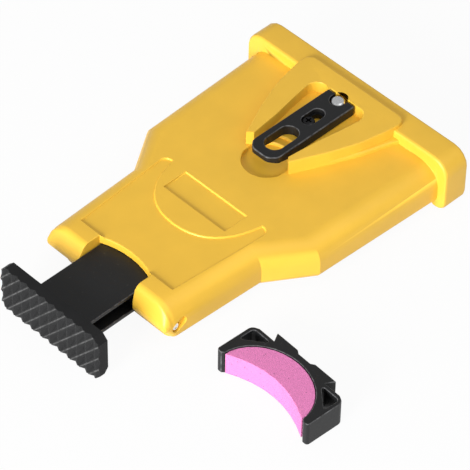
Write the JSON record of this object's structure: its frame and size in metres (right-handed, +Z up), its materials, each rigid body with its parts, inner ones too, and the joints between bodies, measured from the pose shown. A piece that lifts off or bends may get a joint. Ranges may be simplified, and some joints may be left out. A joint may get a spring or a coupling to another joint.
{
  "type": "bar-mounted chainsaw sharpener",
  "caption": "Hinged clamshell housing that closes round a guide bar's nose; a sprung push slide with a knurled pad presses a crescent stone on the running chain. Loose spare stone cartridge.",
  "frame": {"origin": "centre of the base shell's flat underside, on the centre plane and half-way along the housing", "axes": "+X from the push pad to the bar mouth, +Y to the left, +Z up through the latch"},
  "size_m": [0.169, 0.1569, 0.0268],
  "materials": {
    "housing_yellow": "satin injection moulding, yellow",
    "black_plastic": "satin black moulding",
    "pad_grey": "dull knurled moulding, dark grey",
    "steel": "bright zinc plated",
    "black_steel": "black oxide",
    "pink_stone": "porous vitrified abrasive, pink"
  },
  "bodies": {
    "base": {"base_shell": "housing_yellow", "hinge_pin_left": "steel", "hinge_pin_right": "steel", "lock_pin": "steel", "lock_pin_screw": "black_steel", "locating_pin": "steel", "locating_pin_screw": "black_steel", "slide_strap": "steel", "strap_screw_left": "black_steel", "strap_screw_right": "black_steel", "return_spring_left": "steel", "return_spring_right": "steel"},
    "cover": {"cover_shell": "housing_yellow", "latch_screw": "black_steel", "latch_bush": "steel"},
    "latch": {"latch_plate": "black_plastic"},
    "carriage": {"slide_carriage": "black_plastic", "push_pad": "pad_grey", "pad_roll_pin": "steel", "stone_holder": "black_plastic", "grinding_stone": "pink_stone"},
    "spare_cartridge": {"spare_stone_holder": "black_plastic", "spare_grinding_stone": "pink_stone"}
  },
  "joints": [
    {"name": "push_slide", "type": "slide", "parent": "base", "child": "carriage", "axis": [1, 0, 0], "range_m": [0, 0.012], "stiffness_N_per_m": 500, "springref_m": -0.004, "deforming": ["return_spring_left", "return_spring_right"]},
    {"name": "cover_hinge", "type": "hinge", "parent": "base", "child": "cover", "pos_m": [-0.06565, 0, 0.0096], "axis": [0, -1, 0], "range_deg": [0, 70]},
    {"name": "latch_slide", "type": "slide", "parent": "cover", "child": "latch", "axis": [-1, 0, 0], "range_m": [0, 0.005]},
    {"name": "spare_lift", "type": "slide", "parent": "base", "child": "spare_cartridge", "axis": [0, 0, 1], "range_m": [0, 0.05]}
  ]
}
